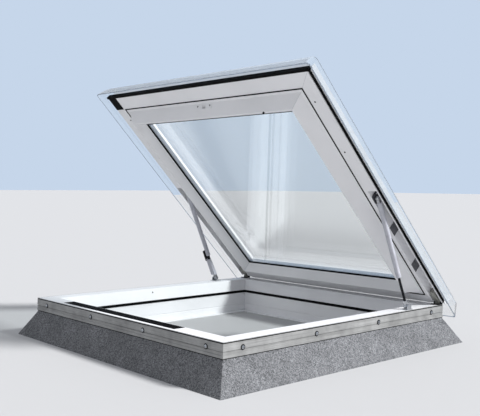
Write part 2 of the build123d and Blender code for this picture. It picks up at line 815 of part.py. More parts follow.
def build():
    write("kerb_frame", kerb_frame())
    write("kerb_insulation", insulation())
    write("upstand_felt", felt())
    rails = rail_ring() - rail_holes()
    for name, turn in (("right", 0), ("back", 90), ("left", 180), ("front", 270)):
        write("clamp_rail_" + name, rails & side_sector(turn))
    write("rail_screws", rail_screws())
    write("tread_strip", tread_strip())
    write("kerb_gasket", kerb_gasket())
    write("lock_case", lock_case())
    write("lock_bolt", bolt_room(bolt_tip - bolt_length, bolt_tip, 0))
    write("handle", handle())

    write("sash_frame", opened(sash_frame()))
    write("sash_cladding", opened(cladding()))
    write("lip_gasket", opened(lip_gasket()))
    write("face_gasket", opened(face_gasket()))
    write("inner_pane", opened(pane(glass_low, pane_inner)))
    write("outer_pane", opened(pane(glass_high - pane_outer, pane_outer)))
    write("pane_spacer", opened(spacer()))
    write("glazing_gasket", opened(glazing_gasket()))
    write("glazing_bead", opened(glazing_bead()))
    write("clear_cover", opened(clear_cover()))
    write("cover_clips", opened(cover_clips()))
    write("channel_pads", channel_pads())
    write("face_screws", face_screws())
    write("ridge_stop", ridge_stop())
    write("strike_plate", strike_plate())

    for name, side in (("left", -1), ("right", 1)):
        write("hinge_base_" + name, hinge_base(side))
        write("hinge_leaf_" + name, hinge_leaf(side))
        write("foot_bracket_" + name, foot_bracket(side))
        write("head_bracket_" + name, head_bracket(side))
        write("spring_rod_" + name, place_spring(spring_rod(), side))
        write("spring_foot_eye_" + name, place_spring(foot_eye(), side))
        write("spring_tube_" + name, place_spring(spring_tube(), side))
        write("spring_guide_" + name, place_spring(spring_guide(), side))
        write("spring_head_eye_" + name, place_spring(head_eye(side), side))
    write("stay_shroud", place_spring(stay_shroud(), sides[0]))
    write("lock_lever", place_spring(lock_lever(), sides[0]))


build()
print("spring open", spring_length, "closed", spring_closed)
print("lean open", spring_lean, "closed", spring_lean_closed)
print("foot", foot, "head", head_open)
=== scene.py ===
"""Roof skylight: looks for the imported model, a camera at the photograph's angle, and a plain pale stage.

Metres, +Z up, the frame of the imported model. The kerb stands on the floor at z = 0, and the hinges are on
the +Y side. New pieces of the sash are made on the closed sash and turned open about the hinge pins.
"""
import json
import math

import bmesh
import bpy
import numpy as np
from mathutils import Matrix, Vector


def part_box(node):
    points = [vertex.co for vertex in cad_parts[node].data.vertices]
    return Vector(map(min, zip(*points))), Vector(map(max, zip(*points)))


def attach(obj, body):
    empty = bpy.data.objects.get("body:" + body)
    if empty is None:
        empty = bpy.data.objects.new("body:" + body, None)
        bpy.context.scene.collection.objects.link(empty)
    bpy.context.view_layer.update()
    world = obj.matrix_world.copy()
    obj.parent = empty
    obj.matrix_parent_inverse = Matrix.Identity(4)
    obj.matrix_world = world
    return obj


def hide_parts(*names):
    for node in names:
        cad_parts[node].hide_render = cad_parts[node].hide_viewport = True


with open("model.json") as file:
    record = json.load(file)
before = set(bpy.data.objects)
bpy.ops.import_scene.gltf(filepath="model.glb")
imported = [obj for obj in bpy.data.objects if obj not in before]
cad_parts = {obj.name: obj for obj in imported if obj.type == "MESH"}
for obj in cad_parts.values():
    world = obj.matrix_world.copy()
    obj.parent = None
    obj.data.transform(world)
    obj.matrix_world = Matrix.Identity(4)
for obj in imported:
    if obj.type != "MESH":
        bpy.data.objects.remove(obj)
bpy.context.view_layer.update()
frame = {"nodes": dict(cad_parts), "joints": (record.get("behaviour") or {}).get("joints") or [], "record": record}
nodes = frame["nodes"]
joints = {joint["name"]: joint for joint in frame["joints"]}
bodies = frame["record"]["behaviour"]["bodies"]
body_of = {node: body for body, members in bodies.items() for node in members}

MM = 0.001

# places from the frame
HINGE = Vector(joints["sash_hinge"]["pos_m"])
OPENING = math.radians(joints["sash_hinge"]["range_deg"][1])
SPRING_FOOT = Vector(joints["rod_right_pivot"]["pos_m"])
SPRING_AXIS = Vector(joints["tube_right_slide"]["axis"])
KERB_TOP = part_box("kerb_frame")[1].z

# photograph
IMAGE_WIDTH = 480.0
SENSOR_WIDTH = 36.0
FOCAL_PIXELS = 764.0
CAMERA_PLACE = (2282.9 * MM, -2061.4 * MM, 618.5 * MM)
CAMERA_AZIMUTH = 47.80                        # degrees, as the next two are
CAMERA_PITCH = 1.72
CAMERA_ROLL = 0.54
FAR_CLIP = 200.0

# stage and light
FLOOR_REACH = 60.0
FLOOR_COLOUR = "#bdbdbe"
SUN_STRENGTH = 5.0
SUN_WIDTH = 9.0                               # degrees, for a soft edge to the shadows
SUN_AIM = (0.68, 0.37, 0.62)
SKY_SEEN = "#c6d6ea"

# sky: colour, strength at the horizon, highest strength, and the height of that, 1 being overhead
SKY_LIT = ("#eef1f7", 0.15, 0.75, 0.9)
SKY_MIRRORED = ("#dfe8f4", 0.6, 1.35, 0.7)

# clamping rails, whose levels count down from the kerb's top
HALF = 580.0 * MM
RAIL_SECTION = (50.0 * MM, 3.0 * MM)          # height, thickness
RAIL_GROOVES = ((3.4 * MM, 3.6 * MM), (29.5 * MM, 2.8 * MM))   # level, width
GROOVE_DEPTH = 2.2 * MM
RAIL_EDGE = 1.0 * MM                          # chamfer of the upper and lower edge
RAIL_LEAN = (38.5 * MM, 1.4 * MM)             # level where the leaning band ends, how far it leans back
RAIL_FOOT = (9.5 * MM, 0.6 * MM)              # height, how far it stands proud
FOOT_CHAMFER = 0.6 * MM
RAIL_LOW = KERB_TOP - RAIL_SECTION[0]
# the two black beads paint shade: the shade line under the kerb's top edge and the shadow under the rails' foot
BEAD_BACK = 0.5 * MM                          # how far both beads stay back from the rail's face
BEAD_LOW_HEIGHT = 2.6 * MM
BEAD_CORNER = 1.0 * MM
BEAD_EASE = 0.3                               # chamfer of a bead, as a share of its height

# felt
FELT_FOOT = 58.0 * MM                         # how far its foot reaches beyond the rails
FELT_SHEET = 5.0 * MM
FELT_FOOT_SHARE = 1.2                         # level width of the sheet at its foot, in thicknesses
FELT_TUCK = 4.0 * MM                          # how far below the kerb's top its tongue ends
FELT_CORNER = 4.0 * MM
FELT_ROWS = 25
FELT_STEPS = 90
WAVE_HEIGHT = 1.1 * MM
WAVE_RUNS = (61.0 * MM, 23.0 * MM)            # run of one radian of the long and of the short wave
WAVE_SHORT_SHARE = 0.6
WAVE_SLANT = 1.3
WAVE_TWIST = 40.0                             # radians per metre of height

# cover
COVER_REACH = 50.0 * MM
COVER_RIM = -12.0 * MM
COVER_SHOULDER = (14.0 * MM, 45.0 * MM)       # inset from the rim, level over the kerb top
COVER_CROWN = (92.0 * MM, 64.0 * MM)
COVER_WALL = 4.0 * MM
COVER_CORNER = 14.0 * MM
COVER_BENDS = (30.0 * MM, 10.0 * MM, 0.8 * MM, 0.8 * MM, 8.0 * MM, 28.0 * MM)   # out to the rim and back
EDGE_STRIP = (0.5 * MM, 0.05 * MM)            # how far the matt strip reaches below the rim, gap over it
COVER_STEPS = 9

# turned profiles of radius and height
SEAL_PROFILE = MM * np.array([(2.0, 0.0), (9.0, 0.0), (9.2, 0.4), (8.6, 1.0), (5.4, 1.3), (2.0, 1.3)])
WASHER_PROFILE = MM * np.array([(2.0, 1.2), (5.8, 1.2), (6.1, 1.4), (5.8, 1.6), (2.0, 1.7)])
BUMPER_PROFILE = MM * np.array([(0.0, 6.0), (2.2, 5.9), (3.0, 5.2), (3.2, 4.0), (4.0, 0.6), (4.0, 0.0),
                                (0.0, 0.0)])

# screws
SCREW_SPAN = 1000.0 * MM
SCREW_COUNT = 4
SCREW_DROP = 24.0 * MM
SCREW_TWIST = 7.0 * MM                        # run along the rail that turns a screw by one radian
SCREW_COLUMNS = 36
HEAD_RISE = 1.4 * MM                          # the head's seat over the rail
SOCKET_LOBES = 6
LOBE_DEPTH = 0.14                             # of the lobes, as a share of the socket's radius

# gas springs: radii, and profiles of radius and height from the tube's lower or upper end
TUBE_BORE = 8.6 * MM
TUBE_CAP = 4.0 * MM
ROD_RADIUS = 5.0 * MM
SEAL_LENGTH = 10.0 * MM
SEAL_GAP = 0.05 * MM
TUBE_MOUTH = MM * np.array([(8.8, 0.0), (9.6, 0.5), (10.0, 2.0), (10.0, 11.0), (9.3, 12.2), (9.3, 13.2),
                            (10.0, 14.4)])
TUBE_HEAD = MM * np.array([(10.0, -2.6), (9.4, -0.8), (8.2, 0.0), (0.0, 0.0)])
SEAL_INNER_LIP = MM * np.array([(0.0, -0.2), (0.7, -0.9)])    # radius from the seal's inner face
SEAL_OUTER_LIP = MM * np.array([(-1.2, -0.9), (-0.1, -0.1), (0.0, 0.6)])    # and from its outer face

# places of the right side's small screws, those of the strike plate from its middle
FACE_SCREWS = ((546.0 * MM, -465.0 * MM, 152.0 * MM), (546.0 * MM, -239.0 * MM, 152.0 * MM))
STRIKE_PLACE = (0.0, -500.57 * MM, 141.0 * MM)
STRIKE_LEAN = 130.6                           # the plate's normal, from the vertical
STRIKE_SCREW = (36.0 * MM, 4.0 * MM, 1.5 * MM)    # out to the side, up the plate, proud of it
FOOT_SCREWS = ((559.5 * MM, 347.0 * MM, 152.5 * MM), (559.5 * MM, 377.0 * MM, 152.5 * MM))
HEAD_SCREWS = ((549.0 * MM, -12.0 * MM, 180.0 * MM), (549.0 * MM, 12.0 * MM, 180.0 * MM))
CASE_SCREW = (28.0 * MM, -466.0 * MM, 66.0 * MM)
SLOPE_SCREW = (507.7 * MM, -55.0 * MM, 133.4 * MM)
SLOPE_LEAN = 66.1                             # the slanted inner face's normal, from the vertical
STOP_PLACE = (335.0 * MM, -472.0 * MM, 110.0 * MM)

# meshes
MERGE = 0.01 * MM
CREASE = math.radians(50)
SHARP = math.radians(28)
FLAT = math.radians(1)

# sockets of a Mix node in colour mode
MIX_A = 6
MIX_B = 7
MIX_RESULT = 2


def linear(code):
    """An sRGB hex colour as linear red, green, blue and alpha."""
    parts = [int(code[i:i + 2], 16) / 255 for i in (1, 3, 5)]
    return tuple(c / 12.92 if c <= 0.04045 else ((c + 0.055) / 1.055) ** 2.4 for c in parts) + (1.0,)


def add(tree, kind, values=None, settings=None, stops=()):
    """Adds one node: values go to its inputs by name or number and a socket is linked, settings go to its
    properties, and stops, pairs of a place and a hex colour, go to its colour ramp."""
    node = tree.nodes.new(kind)
    for name, value in (settings or {}).items():
        setattr(node, name, value)
    for name, value in (values or {}).items():
        socket = node.inputs[name]
        if isinstance(value, bpy.types.NodeSocket):
            tree.links.new(value, socket)
        else:
            socket.default_value = value
    for index, (place, colour) in enumerate(stops):
        element = node.color_ramp.elements[index]
        element.position = place
        element.color = linear(colour)
    return node


def new_material(name):
    """An empty material: the material, its node tree and its Object coordinates."""
    material = bpy.data.materials.new(name)
    material.use_nodes = True
    tree = material.node_tree
    tree.nodes.clear()
    place = add(tree, "ShaderNodeTexCoord").outputs["Object"]
    return material, tree, place


def on_closed_sash(tree, place):
    """Coordinates turned back from the open sash to the closed one: a pattern then follows its bars."""
    turn = Matrix.Rotation(OPENING, 3, "X")
    return add(tree, "ShaderNodeMapping", {
        "Vector": place, "Rotation": (OPENING, 0.0, 0.0), "Location": HINGE - turn @ HINGE,
    }).outputs["Vector"]


def weld_line(tree, place, width):
    """0 on the mitre joints at the square's corners and 1 away from them: how far |x| and |y| differ,
    against the line's width, of which its core is 0.3."""
    axes = add(tree, "ShaderNodeSeparateXYZ", {"Vector": place})
    across = add(tree, "ShaderNodeMath", {0: axes.outputs["X"]}, {"operation": "ABSOLUTE"})
    deep = add(tree, "ShaderNodeMath", {0: axes.outputs["Y"]}, {"operation": "ABSOLUTE"})
    apart = add(tree, "ShaderNodeMath", {0: across.outputs["Value"], 1: deep.outputs["Value"]},
                {"operation": "SUBTRACT"})
    far = add(tree, "ShaderNodeMath", {0: apart.outputs["Value"]}, {"operation": "ABSOLUTE"})
    core = 0.3 * width
    return add(tree, "ShaderNodeMapRange", {"Value": far.outputs["Value"], "From Min": core,
                                            "From Max": width}).outputs["Result"]


# materials
def rigid_pvc(name, low, high, roughness, turned=False):
    """Co-extruded rigid PVC, welded at its mitres: an even satin white with a fine line at each weld. Its
    faint streaks are drawn 4 mm wide so that they show. The hidden foam ring takes it too."""
    cloud_size = 180 * MM
    streak_size = 4 * MM
    weld_width = 1.4 * MM
    material, tree, place = new_material(name)
    if turned:
        place = on_closed_sash(tree, place)
    cloud = add(tree, "ShaderNodeTexNoise", {"Vector": place, "Scale": 1 / cloud_size, "Detail": 4.0})
    tone = add(tree, "ShaderNodeValToRGB", {"Fac": cloud.outputs["Fac"]}, stops=((0.3, low), (0.7, high)))
    weld = weld_line(tree, place, weld_width)
    seam = add(tree, "ShaderNodeValToRGB", {"Fac": weld}, stops=((0.0, "#d9d9dc"), (1.0, "#ffffff")))
    lined = add(tree, "ShaderNodeMix", {
        "Factor": 1.0, MIX_A: tone.outputs["Color"], MIX_B: seam.outputs["Color"],
    }, {"data_type": "RGBA", "blend_type": "MULTIPLY"})
    streak = add(tree, "ShaderNodeTexNoise", {"Vector": place, "Scale": 1 / streak_size, "Detail": 3.0})
    gloss = add(tree, "ShaderNodeMapRange", {
        "Value": streak.outputs["Fac"], "To Min": roughness - 0.05, "To Max": roughness + 0.07})
    groove = add(tree, "ShaderNodeBump", {"Height": weld, "Strength": 0.5, "Distance": 0.4 * MM})
    bump = add(tree, "ShaderNodeBump", {
        "Height": streak.outputs["Fac"], "Strength": 0.05, "Distance": 0.2 * MM,
        "Normal": groove.outputs["Normal"]})
    skin = add(tree, "ShaderNodeBsdfPrincipled", {
        "Base Color": lined.outputs[MIX_RESULT], "Roughness": gloss.outputs["Result"], "IOR": 1.54,
        "Normal": bump.outputs["Normal"]})
    add(tree, "ShaderNodeOutputMaterial", {"Surface": skin.outputs["BSDF"]})
    return material


def mineral_felt(name):
    """Bitumen felt with slate granules: a dull speckled grey in darker and paler patches. The chips are
    about 1 mm across, and are drawn 3 mm across so that they show."""
    chip_size = 2.8 * MM
    fine_size = 7 * MM
    patch_size = 70 * MM
    material, tree, place = new_material(name)
    chips = add(tree, "ShaderNodeTexVoronoi", {"Vector": place, "Scale": 1 / chip_size})
    fine = add(tree, "ShaderNodeTexNoise", {
        "Vector": place, "Scale": 1 / fine_size, "Detail": 5.0, "Roughness": 0.75})
    patch = add(tree, "ShaderNodeTexNoise", {"Vector": place, "Scale": 1 / patch_size, "Detail": 4.0})
    grey = add(tree, "ShaderNodeSeparateColor", {"Color": chips.outputs["Color"]})
    mixed = add(tree, "ShaderNodeMath", {0: grey.outputs["Red"], 1: fine.outputs["Fac"], 2: 0.1},
                {"operation": "MULTIPLY_ADD"})
    tone = add(tree, "ShaderNodeValToRGB", {"Fac": mixed.outputs["Value"]},
               stops=((0.06, "#424446"), (0.84, "#aaabaf")))
    wear = add(tree, "ShaderNodeValToRGB", {"Fac": patch.outputs["Fac"]},
               stops=((0.3, "#dedede"), (0.7, "#ffffff")))
    worn = add(tree, "ShaderNodeMix", {
        "Factor": 1.0, MIX_A: tone.outputs["Color"], MIX_B: wear.outputs["Color"],
    }, {"data_type": "RGBA", "blend_type": "MULTIPLY"})
    bump = add(tree, "ShaderNodeBump", {
        "Height": mixed.outputs["Value"], "Strength": 0.6, "Distance": 1.4 * MM})
    skin = add(tree, "ShaderNodeBsdfPrincipled", {
        "Base Color": worn.outputs[MIX_RESULT], "Roughness": 0.9, "IOR": 1.5,
        "Normal": bump.outputs["Normal"]})
    add(tree, "ShaderNodeOutputMaterial", {"Surface": skin.outputs["BSDF"]})
    return material


def drawn_aluminium(name, along, low, high, roughness, metallic, turned=False):
    """Extruded aluminium: die lines that run the length of the bar, and a dull weathered cloud. The lines
    are hairlines, and are drawn 1.2 mm apart so that they show."""
    line_apart = 1.2 * MM
    line_run = 160 * MM
    cloud_size = 55 * MM
    material, tree, place = new_material(name)
    if turned:
        place = on_closed_sash(tree, place)
    stretch = [1 / line_apart] * 3
    stretch[along] = 1 / line_run
    lines = add(tree, "ShaderNodeMapping", {"Vector": place, "Scale": stretch})
    grain = add(tree, "ShaderNodeTexNoise", {
        "Vector": lines.outputs["Vector"], "Scale": 1.0, "Detail": 3.0})
    cloud = add(tree, "ShaderNodeTexNoise", {"Vector": place, "Scale": 1 / cloud_size, "Detail": 5.0})
    mixed = add(tree, "ShaderNodeMath", {0: grain.outputs["Fac"], 1: cloud.outputs["Fac"]},
                {"operation": "MULTIPLY"})
    tone = add(tree, "ShaderNodeValToRGB", {"Fac": mixed.outputs["Value"]},
               stops=((0.1, low), (0.42, high)))
    gloss = add(tree, "ShaderNodeMapRange", {
        "Value": mixed.outputs["Value"], "To Min": roughness + 0.1, "To Max": roughness - 0.12})
    bump = add(tree, "ShaderNodeBump", {
        "Height": grain.outputs["Fac"], "Strength": 0.08, "Distance": 0.1 * MM})
    skin = add(tree, "ShaderNodeBsdfPrincipled", {
        "Base Color": tone.outputs["Color"], "Metallic": metallic, "Roughness": gloss.outputs["Result"],
        "Normal": bump.outputs["Normal"]})
    add(tree, "ShaderNodeOutputMaterial", {"Surface": skin.outputs["BSDF"]})
    return material


def moulded_polymer(name, low, high, roughness, grain_size, depth):
    """EPDM rubber, glass-filled nylon or thermoplastic rubber: dark and dull, with a fine moulded grain,
    drawn about ten times too coarse so that it shows."""
    material, tree, place = new_material(name)
    grain = add(tree, "ShaderNodeTexNoise", {"Vector": place, "Scale": 1 / grain_size, "Detail": 4.0})
    tone = add(tree, "ShaderNodeValToRGB", {"Fac": grain.outputs["Fac"]}, stops=((0.3, low), (0.7, high)))
    bump = add(tree, "ShaderNodeBump", {
        "Height": grain.outputs["Fac"], "Strength": depth, "Distance": 0.15 * MM})
    skin = add(tree, "ShaderNodeBsdfPrincipled", {
        "Base Color": tone.outputs["Color"], "Roughness": roughness, "IOR": 1.52,
        "Specular IOR Level": 0.12, "Normal": bump.outputs["Normal"]})
    add(tree, "ShaderNodeOutputMaterial", {"Surface": skin.outputs["BSDF"]})
    return material


def coated_steel(name, low, high, roughness, metallic):
    """Sheet or turned steel, zinc plated, powder coated, enamelled or nitrided: a soft cloud in its tone
    and its gloss."""
    cloud_size = 14 * MM
    material, tree, place = new_material(name)
    cloud = add(tree, "ShaderNodeTexNoise", {"Vector": place, "Scale": 1 / cloud_size, "Detail": 5.0})
    tone = add(tree, "ShaderNodeValToRGB", {"Fac": cloud.outputs["Fac"]}, stops=((0.3, low), (0.7, high)))
    gloss = add(tree, "ShaderNodeMapRange", {
        "Value": cloud.outputs["Fac"], "To Min": roughness + 0.06, "To Max": roughness - 0.06})
    skin = add(tree, "ShaderNodeBsdfPrincipled", {
        "Base Color": tone.outputs["Color"], "Metallic": metallic, "Roughness": gloss.outputs["Result"]})
    add(tree, "ShaderNodeOutputMaterial", {"Surface": skin.outputs["BSDF"]})
    return material


def perforated_spacer(name):
    """Mill aluminium spacer bar: bright, with small holes 3 mm apart for the drying beads behind them. The holes
    are painted dark grey, a painted shade of the hollow behind them.
    """
    hole_apart = 3 * MM
    material, tree, place = new_material(name)
    place = on_closed_sash(tree, place)
    holes = add(tree, "ShaderNodeTexVoronoi", {
        "Vector": place, "Scale": 1 / hole_apart, "Randomness": 0.0})
    solid = add(tree, "ShaderNodeMapRange", {
        "Value": holes.outputs["Distance"], "From Min": 0.12, "From Max": 0.2})
    # the dark grey in the holes is painted shade
    tone = add(tree, "ShaderNodeValToRGB", {"Fac": solid.outputs["Result"]},
               stops=((0.0, "#77797c"), (1.0, "#e3e5e8")))
    bump = add(tree, "ShaderNodeBump", {
        "Height": solid.outputs["Result"], "Strength": 0.4, "Distance": 0.3 * MM})
    skin = add(tree, "ShaderNodeBsdfPrincipled", {
        "Base Color": tone.outputs["Color"], "Metallic": 1.0, "Roughness": 0.35,
        "Normal": bump.outputs["Normal"]})
    add(tree, "ShaderNodeOutputMaterial", {"Surface": skin.outputs["BSDF"]})
    return material


def clear_sheet(name, tint, index, shade):
    """Float glass or cast acrylic: clear and smooth; lamps shine through it to what lies behind."""
    ripple_size = 260 * MM
    material, tree, place = new_material(name)
    ripple = add(tree, "ShaderNodeTexNoise", {"Vector": place, "Scale": 1 / ripple_size, "Detail": 1.0})
    bump = add(tree, "ShaderNodeBump", {
        "Height": ripple.outputs["Fac"], "Strength": 0.02, "Distance": 1 * MM})
    body = add(tree, "ShaderNodeBsdfPrincipled", {
        "Base Color": linear(tint), "Roughness": 0.0, "IOR": index, "Transmission Weight": 1.0,
        "Normal": bump.outputs["Normal"]})
    through = add(tree, "ShaderNodeBsdfTransparent", {"Color": linear(shade)})
    ray = add(tree, "ShaderNodeLightPath")
    from_lamp = add(tree, "ShaderNodeMath", {
        0: ray.outputs["Is Shadow Ray"], 1: ray.outputs["Is Diffuse Ray"]}, {"operation": "MAXIMUM"})
    pick = add(tree, "ShaderNodeMixShader", {
        "Fac": from_lamp.outputs["Value"], 1: body.outputs["BSDF"], 2: through.outputs["BSDF"]})
    add(tree, "ShaderNodeOutputMaterial", {"Surface": pick.outputs["Shader"]})
    return material


def sawn_acrylic(name, colour):
    """The sawn edge of an acrylic sheet: matt and a little milky, with saw marks."""
    mark_size = 3 * MM
    material, tree, place = new_material(name)
    marks = add(tree, "ShaderNodeTexNoise", {"Vector": place, "Scale": 1 / mark_size, "Detail": 3.0})
    bump = add(tree, "ShaderNodeBump", {
        "Height": marks.outputs["Fac"], "Strength": 0.3, "Distance": 0.2 * MM})
    skin = add(tree, "ShaderNodeBsdfPrincipled", {
        "Base Color": linear(colour), "Roughness": 0.5, "IOR": 1.49, "Transmission Weight": 0.3,
        "Normal": bump.outputs["Normal"]})
    add(tree, "ShaderNodeOutputMaterial", {"Surface": skin.outputs["BSDF"]})
    return material


# surfaces
def grid_faces(rows, columns, close_rows=False):
    """Faces between neighbours of a grid of points whose columns close into a loop."""
    index = np.arange(rows * columns).reshape(rows, columns)
    if close_rows:
        index = np.vstack([index, index[:1]])
    index = np.hstack([index, index[:, :1]])
    corners = [index[:-1, :-1], index[:-1, 1:], index[1:, 1:], index[1:, :-1]]
    return np.stack(corners, axis=-1).reshape(-1, 4)


def lathe(profile, columns, close_rows=False):
    """A profile of (radius, height) turned about Z: x = r cos a, y = r sin a, z = h."""
    radius, height = np.array(profile, dtype=float).T
    angle = np.linspace(0, 2 * math.pi, columns, endpoint=False)
    points = np.stack([np.outer(radius, np.cos(angle)), np.outer(radius, np.sin(angle)),
                       np.repeat(height[:, None], columns, axis=1)], axis=-1)
    return points.reshape(-1, 3), grid_faces(len(radius), columns, close_rows)


def socket_screw(head, height, socket, depth, shank, length):
    """A screw with a six-lobed socket: a turned profile whose socket rows have r = r0 (1 + s cos 6a)."""
    rows = np.array([
        (0.0, height - depth, 0), (socket * 0.6, height - depth, 1), (socket, height - depth, 1),
        (socket, height, 1), (head * 0.72, height, 0), (head * 0.9, height * 0.88, 0),
        (head * 0.98, height * 0.62, 0), (head, height * 0.3, 0), (head, 0.0, 0), (shank, 0.0, 0),
        (shank, -length + shank, 0), (0.0, -length, 0)])
    angle = np.linspace(0, 2 * math.pi, SCREW_COLUMNS, endpoint=False)
    star = 1 + LOBE_DEPTH * np.outer(rows[:, 2], np.cos(SOCKET_LOBES * angle))
    radius = rows[:, :1] * star
    points = np.stack([radius * np.cos(angle), radius * np.sin(angle),
                       np.repeat(rows[:, 1:2], SCREW_COLUMNS, axis=1)], axis=-1)
    return points.reshape(-1, 3), grid_faces(len(rows), SCREW_COLUMNS)


def square_path(half_side, corner, round_steps, side_steps):
    """Points round a square with rounded corners: four quarter circles joined by straight runs.

    half_side and corner are arrays, one value for each row of a surface, and each straight run has
    side_steps equal steps. Gives x, y and the outward direction of each point.
    """
    half_side = np.atleast_1d(half_side)[:, None]
    corner = np.atleast_1d(corner)[:, None]
    quarter = np.linspace(0, math.pi / 2, round_steps)
    share = np.linspace(0, 1, side_steps + 1)[1:-1]
    xs, ys, us, vs = [], [], [], []
    for turn in range(4):
        angle = quarter + turn * math.pi / 2
        arc_x = (half_side - corner) * np.sign(math.cos(angle.mean())) + corner * np.cos(angle)
        arc_y = (half_side - corner) * np.sign(math.sin(angle.mean())) + corner * np.sin(angle)
        end_x, end_y = math.cos(angle[-1]), math.sin(angle[-1])
        run = 2 * (half_side - corner) * share
        xs += [arc_x, arc_x[:, -1:] - run * end_y]
        ys += [arc_y, arc_y[:, -1:] + run * end_x]
        us += [np.cos(angle) + 0 * arc_x, end_x + 0 * run]
        vs += [np.sin(angle) + 0 * arc_x, end_y + 0 * run]
    return np.hstack(xs), np.hstack(ys), np.hstack(us), np.hstack(vs)


def eased(corners, reaches, steps=6):
    """An open outline whose inner corners are quadratic curves (1-t)^2 a + 2t(1-t) corner + t^2 b."""
    corners = np.array(corners, dtype=float)
    share = np.linspace(0, 1, steps)[:, None]
    points = [corners[:1]]
    for before, corner, after, reach in zip(corners[:-2], corners[1:-1], corners[2:], reaches):
        start = corner + (before - corner) / np.linalg.norm(before - corner) * reach
        end = corner + (after - corner) / np.linalg.norm(after - corner) * reach
        points.append((1 - share) ** 2 * start + 2 * share * (1 - share) * corner + share ** 2 * end)
    return np.vstack(points + [corners[-1:]])


def ring_surface(section, corner, round_steps, side_steps, wave=None, close_rows=True):
    """A section of (half side, level) carried round the square; wave moves points outwards by place."""
    half_side, level = section.T
    corners = np.broadcast_to(corner, half_side.shape)
    x, y, out_x, out_y = square_path(half_side, corners, round_steps, side_steps)
    z = np.repeat(level[:, None], x.shape[1], axis=1)
    if wave is not None:
        shift = wave(x, y, z)
        x = x + shift * out_x
        y = y + shift * out_y
    points = np.stack([x, y, z], axis=-1).reshape(-1, 3)
    return points, grid_faces(len(half_side), x.shape[1], close_rows)


def mitred_bar(section, turn):
    """A section of (inset, level) run along one side of the square, cut at 45 degrees at both ends."""
    inset, level = np.array(section, dtype=float).T
    reach = HALF - inset
    ends = [np.stack([reach, end * reach, KERB_TOP + level], axis=-1) for end in (-1, 1)]
    points = np.vstack(ends) @ np.array(Matrix.Rotation(turn, 3, "Z")).T
    count = len(inset)
    caps = [list(range(count)), list(range(count, 2 * count))]
    return points, grid_faces(2, count).tolist() + caps


def at_places(shape, places):
    """Copies of a small surface, one for each turn and place, worked out as whole arrays."""
    points, faces = shape
    turns = np.array([np.array(place.to_3x3()) for place in places])
    moves = np.array([np.array(place.translation) for place in places])
    moved = np.einsum("nij,pj->npi", turns, points) + moves[:, None, :]
    steps = np.arange(len(places))[:, None, None] * len(points)
    return moved.reshape(-1, 3), (faces[None] + steps).reshape(-1, 4)


def opened(shape):
    """A surface of the closed sash, turned open about the hinge pins."""
    points, faces = shape
    turn = np.array(Matrix.Rotation(-OPENING, 3, "X"))
    hinge = np.array(HINGE)
    return (points - hinge) @ turn.T + hinge, faces


def on_spring(shape, side):
    """A surface made standing on the lower pivot, leaned to its gas spring."""
    points, faces = shape
    turn = np.array(SPRING_AXIS.to_track_quat("Z", "Y").to_matrix())
    foot = np.array((side * SPRING_FOOT.x, SPRING_FOOT.y, SPRING_FOOT.z))
    return points @ turn.T + foot, faces


def span_on_spring(name):
    """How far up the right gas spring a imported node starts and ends, from the lower pivot."""
    mesh = nodes[name].data
    points = np.empty(3 * len(mesh.vertices), np.float32)
    mesh.vertices.foreach_get("co", points)
    rise = (points.reshape(-1, 3) - np.array(SPRING_FOOT)) @ np.array(SPRING_AXIS)
    return rise.min(), rise.max()


# pieces and their finishes, each a material with the record's slot
def finish_mesh(mesh):
    """Smooth faces with creases where they meet at a large angle."""
    mesh.polygons.foreach_set("use_smooth", np.ones(len(mesh.polygons), dtype=bool))
    mesh.set_sharp_from_angle(angle=CREASE)
    mesh.update()


def put(name, mesh, finish, body, replaced=()):
    """Links a piece with its finish and its body, and even shading on its flat faces."""
    material, slot = finish
    mesh.materials.clear()
    mesh.materials.append(material)
    piece = bpy.data.objects.new(name, mesh)
    bpy.context.scene.collection.objects.link(piece)
    normals = piece.modifiers.new("even shading", "WEIGHTED_NORMAL")
    normals.keep_sharp = True
    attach(piece, body)
    if replaced:
        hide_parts(*replaced)


def make_piece(name, shape, finish, body, replaced=()):
    """A piece from points and faces: doubles merged, empty faces dropped, the rest turned outwards."""
    points, faces = shape
    if isinstance(faces, np.ndarray):
        faces = faces.tolist()
    mesh = bpy.data.meshes.new(name)
    mesh.from_pydata(points.tolist(), [], faces)
    work = bmesh.new()
    work.from_mesh(mesh)
    bmesh.ops.remove_doubles(work, verts=work.verts, dist=MERGE)
    bmesh.ops.dissolve_degenerate(work, dist=MERGE, edges=work.edges)
    bmesh.ops.recalc_face_normals(work, faces=work.faces)
    work.to_mesh(mesh)
    work.free()
    finish_mesh(mesh)
    put(name, mesh, finish, body, replaced)


def soften(names, finish, edge):
    """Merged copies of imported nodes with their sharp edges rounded, which stand for the nodes."""
    for name in names:
        mesh = nodes[name].data.copy()
        work = bmesh.new()
        work.from_mesh(mesh)
        bmesh.ops.remove_doubles(work, verts=work.verts, dist=MERGE)
        bmesh.ops.dissolve_limit(work, angle_limit=FLAT, verts=work.verts, edges=work.edges)
        sharp = [e for e in work.edges if len(e.link_faces) == 2 and e.calc_face_angle() > SHARP]
        bmesh.ops.bevel(work, geom=sharp, offset=edge, offset_type="OFFSET", segments=2, profile=0.5,
                        affect="EDGES", clamp_overlap=False)
        work.to_mesh(mesh)
        work.free()
        finish_mesh(mesh)
        put(name + "_rounded", mesh, finish, body_of[name], (name,))


def set_finish(names, finish):
    """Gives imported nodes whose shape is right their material. Their slot is the record's own."""
    for name in names:
        mesh = nodes[name].data
        mesh.materials.clear()
        mesh.materials.append(finish[0])


def both(stem):
    """The names of a pair's left and right node."""
    return [stem + "_left", stem + "_right"]


def beside(side, place):
    """A move to a place given for the right side, where side is 1. A side of -1 mirrors it to the left."""
    x, y, z = place
    return Matrix.Translation((side * x, y, z))


